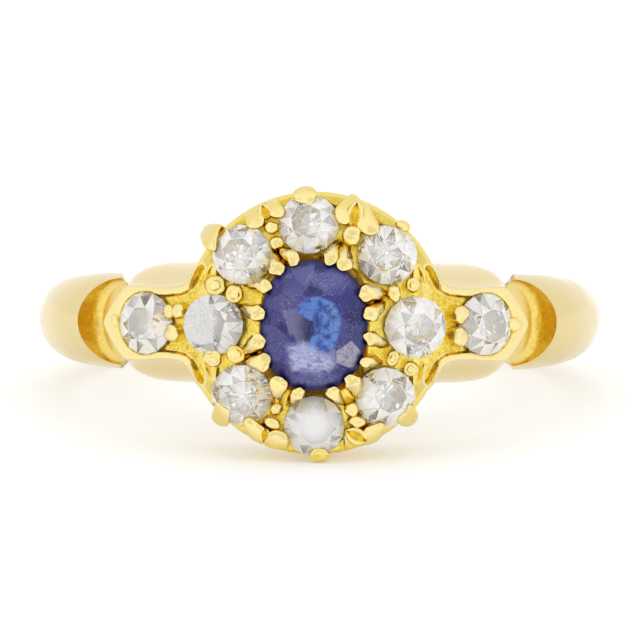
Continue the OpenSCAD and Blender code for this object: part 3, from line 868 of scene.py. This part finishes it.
claw = {
    # inner end, tail, half width and height above the girdle, from the root up
    "levels": [(0.12, 0.72, 0.26, -1.05), (0.08, 0.66, 0.26, -0.6), (0.0, 0.56, 0.25, -0.22),
               (-0.14, 0.43, 0.245, 0.03), (-0.24, 0.31, 0.24, 0.16), (-0.275, 0.22, 0.232, 0.255),
               (-0.26, 0.17, 0.21, 0.285), (-0.24, 0.14, 0.19, 0.292)],
    "lean": 0.42, "out": 0.13, "tail": 1.6, "sizeJitter": 0.08, "turnJitter": 0.2, "seed": 3, "wear": 0.26,
    # angle in the head, then size and breadth
    "places": [(12.0, 1.0, 1.05), (30.7, 1.08, 1.15), (64.6, 1.05, 1.1), (76.4, 0.95, 1.05),
        (108.3, 0.95, 1.2), (123.8, 1.05, 1.15), (142.8, 0.95, 1.1), (167.8, 1.05, 1.1), (196.5, 1.0, 1.2),
        (215.9, 1.08, 1.15), (239.6, 1.1, 1.15), (257.0, 0.92, 1.0), (286.2, 0.95, 1.0), (304.3, 1.1, 1.1),
        (324.8, 0.92, 1.1), (346.8, 1.0, 1.1)],
}


def dropRing(inner, outer, half, z):
    # outline of a teardrop, round towards the stone and drawn to a tail away from it
    return [(outer * cos(a) ** claw["tail"] if cos(a) > 0 else inner * -cos(a), half * sin(a), z)
            for a in around(28)]


def onCushion(angle, out=0.0):
    r = cushionRadius(angle) + out
    return Vector((r * cos(angle), r * sin(angle), ring["centreHeight"]))


clawRows = []
for k, (degrees, size, broad) in enumerate(claw["places"]):
    angle = radians(degrees)
    along = onCushion(angle + 0.02) - onCushion(angle - 0.02)
    turn = atan2(-along.x, along.y) + claw["lean"] * (-1) ** k
    clawRows.append((onCushion(angle, claw["out"]), turn, size, broad))
clawShape = loft("clawShape", [dropRing(*level) for level in claw["levels"]], 40)
dressed(scatter("claws", clawShape, clawRows, claw), "claws", gold)

bead = {
    "ringProfile": [(0.31, -0.75), (0.29, -0.1), (0.275, 0.02), (0.245, 0.075), (0.205, 0.085), (0.175, 0.066),
                    (0.16, 0.07), (0.135, 0.105), (0.09, 0.125), (0.0005, 0.13)],
    "domeProfile": [(0.31, -0.75), (0.29, -0.1), (0.284, 0.05), (0.266, 0.12), (0.228, 0.165), (0.17, 0.188),
                    (0.0005, 0.193)],
    "lift": 0.08, "plateLift": -0.04, "sizeJitter": 0.04, "turnJitter": 0.1, "seed": 11, "wear": 0.16,
    # angle and radius in the head, then length and breadth against a plain bead, and its turn
    "ringed": [(158.4, 3.74, 1.3, 1.0, 0), (159.0, 3.02, 1.15, 1.0, 0), (198.0, 3.76, 1.15, 1.0, 0),
        (200.6, 2.94, 1.15, 1.0, 0), (337.0, 2.99, 0.8, 1.3, 0), (335.6, 3.72, 0.95, 1.0, 0),
        (22.3, 3.73, 0.92, 1.0, 0)],
    "plain": [(114.0, 3.73, 0.92, 0.78, 60), (114.6, 3.17, 0.9, 0.8, 60), (245.7, 3.23, 0.88, 0.85, 0),
        (246.7, 3.75, 1.1, 0.62, 90), (294.0, 3.23, 0.95, 0.9, 0), (294.0, 3.70, 1.1, 0.7, 60),
        (21.6, 3.01, 1.15, 0.8, 80), (67.3, 3.39, 1.35, 0.9, 0)],
    # away from the head and across on a plate, then length and breadth
    "plateRight": [(1.12, -0.02, 1.05, 0.9), (-1.1, 0.33, 1.25, 1.0), (-1.15, -0.43, 1.3, 1.0)],
    "plateLeft": [(1.26, -0.09, 0.6, 1.5), (-1.06, -0.42, 0.95, 1.0), (-1.47, -0.46, 0.9, 1.1),
                  (-1.22, 0.32, 1.2, 1.0)],
}


def beads(name, profile, rows, further):
    return scatter(name, turnedSolid("beadShape", bead[profile], 32, 50), rows, bead, further)


def headBeads(name, profile, further):
    rows = []
    for degrees, r, size, broad, turn in bead[name]:
        a = radians(degrees)
        place = (r * cos(a), r * sin(a), circleHeight(r) + bead["lift"])
        rows.append((place, a + radians(turn), size, broad))
    return beads(name + "Beads", profile, rows, further)


def plateBeads(name, side):
    rows = [((u, v, bead["plateLift"]), 0.0, size, broad) for u, v, size, broad in bead[name]]
    return moved(beads("plateBeads", "domeProfile", rows, 2 + side), onPlate(side))


dressed(joined("beads", [headBeads("ringed", "ringProfile", 0), headBeads("plain", "domeProfile", 1)]),
        "beads", gold)
dressed(joined("plateBeads", [plateBeads("plateRight", 1), plateBeads("plateLeft", -1)]),
        "plateBeads", gold)
print("claws and beads set")

# ---- outer claws and forked claws

outerClaw = {
    "drop": 1.5, "drawIn": 0.07, "rimFall": 0.3, "rimCurve": 0.9,
    # how far the top is drawn in, and how deep each of its edges lies
    "topEdges": [(0.0, 0.5), (0.0, 0.11), (0.05, 0.025), (0.12, 0.0)],
    # height of the top and radius from which it falls away, then its outline in the head
    "single": [
        (11.62, 4.45, [(-0.77, 4.66), (-0.53, 4.84), (-0.17, 4.87), (0.04, 4.72), (0.07, 4.51),
            (-0.05, 4.24), (-0.23, 4.21), (-0.65, 4.3), (-0.74, 4.45)]),
        (11.5, 4.6, [(2.9, 3.67), (3.14, 3.68), (3.34, 3.52), (3.32, 3.34), (3.14, 3.28), (2.93, 3.43),
            (2.84, 3.58)]),
        (11.6, 4.4, [(-4.01, 3.25), (-3.83, 3.49), (-3.47, 3.55), (-3.26, 3.49), (-3.34, 3.31),
            (-3.41, 2.95), (-3.47, 2.59), (-3.71, 2.59), (-3.95, 2.83), (-4.04, 3.07)]),
        (11.62, 4.2, [(-3.62, -3.23), (-3.53, -2.96), (-3.44, -2.68), (-3.17, -2.84), (-2.93, -3.02),
            (-2.96, -3.29), (-3.05, -3.56), (-3.35, -3.56), (-3.56, -3.41)]),
        (11.6, 4.5, [(-0.18, -4.55), (-0.04, -4.34), (0.19, -4.3), (0.38, -4.34), (0.55, -4.49),
            (0.53, -4.67), (0.32, -4.79), (-0.04, -4.79), (-0.14, -4.68)]),
        (11.62, 4.2, [(2.93, -3.23), (3.2, -2.99), (3.32, -2.75), (3.47, -2.84), (3.64, -3.11),
            (3.59, -3.38), (3.35, -3.56), (3.05, -3.53), (2.92, -3.38)])],
    "forked": [
        [(11.62, 4.0, [(1.28, 4.6), (0.8, 4.21), (0.68, 3.94), (0.8, 3.61), (1.07, 3.49), (1.25, 3.61),
            (1.35, 3.85), (1.44, 4.15), (1.6, 4.4)]),
         (11.62, 4.0, [(1.46, 4.43), (1.47, 4.1), (1.44, 3.73), (1.46, 3.45), (1.64, 3.25), (1.94, 3.13),
             (2.24, 3.22), (2.27, 3.49), (2.06, 3.91), (1.82, 4.27)])],
        [(11.6, 4.0, [(-2.53, 3.89), (-2.45, 3.73), (-2.39, 3.43), (-2.15, 3.35), (-1.85, 3.43),
            (-1.74, 3.64), (-1.75, 3.86), (-1.77, 4.1), (-1.77, 4.32), (-2.09, 4.19), (-2.27, 4.08)]),
         (11.6, 4.05, [(-1.72, 4.33), (-1.7, 4.09), (-1.61, 3.82), (-1.31, 3.73), (-1.07, 3.82),
             (-1.04, 4.03), (-1.15, 4.18), (-1.35, 4.37), (-1.56, 4.4)])],
        [(11.62, 4.2, [(-2.45, -3.29), (-2.27, -3.23), (-1.97, -3.41), (-1.73, -3.59), (-1.67, -3.77),
            (-1.74, -3.93), (-1.79, -4.19), (-2.15, -4.05), (-2.39, -3.8), (-2.49, -3.53)]),
         (11.62, 4.2, [(-1.71, -3.8), (-1.37, -3.66), (-1.01, -3.77), (-0.89, -4.01), (-0.95, -4.34),
             (-1.37, -4.37), (-1.7, -4.25), (-1.8, -4.1), (-1.77, -3.93)])],
        [(11.62, 4.2, [(1.79, -3.59), (2.06, -3.47), (2.39, -3.4), (2.51, -3.59), (2.42, -3.83),
            (2.18, -4.1), (1.75, -4.22), (1.64, -4.01), (1.69, -3.77)]),
         (11.5, 4.1, [(1.07, -3.72), (1.31, -3.73), (1.6, -3.86), (1.82, -4.1), (1.79, -4.22),
             (1.42, -4.32), (1.07, -4.35)])]],
    # ends, half width and depth of the leaf cut between the two halves
    "leaf": [((1.49, 4.34), (1.33, 3.38), 0.2, 0.17), ((-1.86, 4.23), (-1.63, 3.68), 0.16, 0.15),
             ((-1.68, -3.6), (-1.79, -4.16), 0.14, 0.15), ((1.1, -3.7), (1.88, -4.09), 0.2, 0.17)],
    # length and breadth shares of the bed under the leaf, its margin and how deep it lies
    "bed": [(-0.02, 0), (0.2, 0.75), (0.5, 1), (0.8, 0.75), (0.98, 0), (0.8, -0.75), (0.5, -1), (0.2, -0.75)],
    "bedMargin": 0.12, "bedDrop": 0.03,
    # share of its depth, height over the top and spread at each level of the cut
    "leafLevels": [(-1.0, 0.0, 0.04), (-0.35, 0.0, 0.7), (0.0, 0.12, 1.1), (0.0, 0.4, 1.1)],
}


def slab(top, crest, outline):
    # worn flat topped piece that falls away towards the rim
    line = closedCurve(outline, 44)
    middle = sum(line, Vector((0, 0))) / len(line)
    kept = 1 - outerClaw["drawIn"]
    rings = [[(p.x * kept, p.y * kept, top - outerClaw["drop"]) for p in line]]
    for amount, down in outerClaw["topEdges"]:
        row = []
        for p in line:
            q = p + (middle - p).normalized() * min(amount, (middle - p).length * 0.6)
            fall = max(0.0, q.length - crest)
            lower = top - fall * fall * outerClaw["rimCurve"] - fall * outerClaw["rimFall"]
            row.append((q.x, q.y, lower - down))
        rings.append(row)
    return loft("slab", rings, 40)


def leafCutter(start, end, half, depth, top):
    middle, way = (start + end) / 2, end - start
    rings = []
    for share, up, spread in outerClaw["leafLevels"]:
        long, wide = way.length / 2 * (0.72 + 0.28 * min(spread, 1)), half * spread
        rings.append([(long * cos(t), wide * sin(t) ** 3 * 0.55 + wide * sin(t) * 0.45,
                       depth * share + up) for t in around(36)])
    return moved(loft("leaf", rings), Matrix.Translation((middle.x, middle.y, top))
                 @ Matrix.Rotation(atan2(way.y, way.x), 4, "Z"))


tongues = [slab(*row) for row in outerClaw["single"]]
for halves, (start, end, half, depth) in zip(outerClaw["forked"], outerClaw["leaf"]):
    start, end = Vector(start), Vector(end)
    height, crest = halves[0][:2]
    top = height - max(0, (start + end).length / 2 - crest) * 0.6
    way = end - start
    aside = Vector((-way.y, way.x)).normalized() * (half + outerClaw["bedMargin"])
    bed = [tuple(start + way * along + aside * w) for along, w in outerClaw["bed"]]
    fork = weld(slab(*halves[0]), slab(*halves[1]), slab(top - outerClaw["bedDrop"], 9, bed))
    tongues.append(carve(fork, leafCutter(start, end, half, depth, top)))
dressed(joined("outerClaws", tongues), "outerClaws", gold, smooth=38)
print("outer claws set")

# ---- stones

cuts = {
    # shares of the half width: table, end of the star faces, end of the lower faces, point
    "round": (0.53, 0.75, 0.88, 0.07), "centre": (0.5, 0.74, 0.8, 0.12),
    "unevenness": 0.11, "centreUnevenness": 0.02, "edge": 0.01,
}


def faceRise(share, inner):
    return (1 - share * cos(pi / 8)) / (1 - inner)


def cutStone(width, length, power, crown, depth, girdle, cut, seed, uneven):
    dice = random.Random(seed)
    table, star, lower, point = cut
    points = []

    def chance():
        return dice.uniform(-uneven, uneven)

    def level(share, z, first, count, loose):
        start = len(points)
        driftX, driftY = chance() * loose, chance() * loose
        lift = 0.5 if loose and share > point and share != table else 0
        for k in range(count):
            a = 2 * pi * k / count + first
            r = 1 / ((abs(cos(a)) * 2 / width) ** power
                     + (abs(sin(a)) * 2 / length) ** power) ** (1 / power)
            r *= share * (1 + chance() * loose * 0.6)
            points.append((r * cos(a) + driftX * width / 2, r * sin(a) + driftY * width / 2,
                           z * (1 + chance() * lift)))
        return start
    half = girdle / 2
    inner = level(table, half + crown, pi / 8, 8, 1)
    middle = level(star, half + crown * faceRise(star, table), 0, 8, 1)
    upper = level(1, half, 0, 16, 0)
    under = level(1, -half, 0, 16, 0)
    below = level(lower, -half - depth * faceRise(lower, point), 0, 8, 1)
    tip = level(point, -half - depth, pi / 8, 8, 1)
    faces = [[inner + k for k in range(8)], [tip + k for k in range(8)]]
    for a, b, c in ((inner, middle, upper), (tip, below, under)):
        for k in range(8):
            n, g, h, j = (k + 1) % 8, 2 * k, 2 * k + 1, (2 * k + 2) % 16
            faces += [[a + k, a + n, b + n], [a + k, c + h, b + k], [a + k, b + n, c + h],
                      [b + k, c + h, c + g], [b + n, c + j, c + h]]
    faces += [[upper + k, upper + (k + 1) % 16, under + (k + 1) % 16, under + k] for k in range(16)]
    stone = rightWay(addMesh("stone", points, faces))
    shape = bmesh.new()
    shape.from_mesh(stone.data)
    bmesh.ops.bevel(shape, geom=shape.edges, offset=cuts["edge"], segments=1, affect="EDGES",
                    clamp_overlap=True)
    shape.to_mesh(stone.data)
    shape.free()
    return stone


def roundStone(size, seed):
    return cutStone(size, size, 2, head["crown"] * size, head["depth"] * size, head["girdle"],
                    cuts["round"], seed, cuts["unevenness"])


for i, (angle, size, turn) in enumerate(smallStones):
    stone = facetLight(roundStone(head["smallStone"] * size, 20 + i), 60 + i)
    moved(stone, atStone(i) @ Matrix.Rotation(radians(turn), 4, "Z"))
    dressed(stone, f"oldCut{i + 1}", clearStone, stands=[f"diamond_{i + 1}"])
for side, label in ((-1, "left"), (1, "right")):
    stone = facetLight(roundStone(shoulder["stone"], 40 + side), 70 + side, 0.1)
    moved(stone, onPlate(side, shoulder["stoneSunk"]) @ Matrix.Rotation(0.3 + side, 4, "Z"))
    dressed(stone, f"shoulderStone{label.title()}", clearStone,
            stands=[f"shoulder_diamond_{label}"])
stone = cutStone(ring["centreWidth"], ring["centreLength"], ring["squareness"], head["centreCrown"],
                 head["centreDepth"], head["centreGirdle"], cuts["centre"], 7, cuts["centreUnevenness"])
moved(facetLight(stone, 31), Matrix.Translation((0, 0, ring["centreHeight"])))
dressed(stone, "middleStone", blueStone, stands=["sapphire"])
print("stones cut")

# ---- stage, light and camera

stage = {
    "floorSize": 3.0, "floorGlow": 0.27, "distance": 0.35, "lens": 561.0, "sensor": 36.0, "nearest": 0.01,
    "elevation": 11.8, "azimuth": 0.95, "aim": (0.193, 0.175, 11.35),
}
floor = addMesh("floor", [(x * stage["floorSize"], y * stage["floorSize"], 0)
                          for x, y in ((-1, -1), (1, -1), (1, 1), (-1, 1))], [[0, 1, 2, 3]])
floor.data.materials.append(material("paleFloor", lambda graph: graph.principled({
    "Base Color": (0.8, 0.8, 0.8, 1), "Roughness": 0.8,
    "Emission Color": (1, 1, 1, 1), "Emission Strength": stage["floorGlow"]})))

elevation, azimuth = radians(stage["elevation"]), radians(stage["azimuth"])
back = Vector((sin(azimuth) * cos(elevation), -cos(azimuth) * cos(elevation),
               sin(elevation)))
camera = placed("camera", bpy.data.cameras.new("camera"))
camera.location = layDown @ Vector(stage["aim"]) + back * stage["distance"]
camera.rotation_euler = (-back).to_track_quat("-Z", "Y").to_euler()
camera.data.sensor_width, camera.data.lens = stage["sensor"], stage["lens"]
camera.data.clip_start = stage["nearest"]
# light goes on between the claws for as many turns as it does in polished gold
lightPaths = bpy.context.scene.cycles
lightPaths.max_bounces, lightPaths.glossy_bounces, lightPaths.transmission_bounces = 24, 16, 20
bpy.context.scene.camera = camera

sky = {"bright": (1.1, 1.1, 1.1), "dim": (0.86, 0.86, 0.83), "dimFrom": 0.88, "dimTo": 0.99}


def daylight(graph):
    toCamera = graph.dot(graph.add("ShaderNodeTexCoord", out=0), back)
    shade = graph.mix(toCamera.between(sky["dimFrom"], sky["dimTo"]), sky["bright"], sky["dim"])
    return graph.add("ShaderNodeBackground", {"Color": shade, "Strength": 1.0})


world = bpy.data.worlds.new("studio")
world.use_nodes = True
finished(world.node_tree, daylight, "ShaderNodeOutputWorld")
bpy.context.scene.world = world
bpy.context.scene.view_settings.view_transform = "Standard"
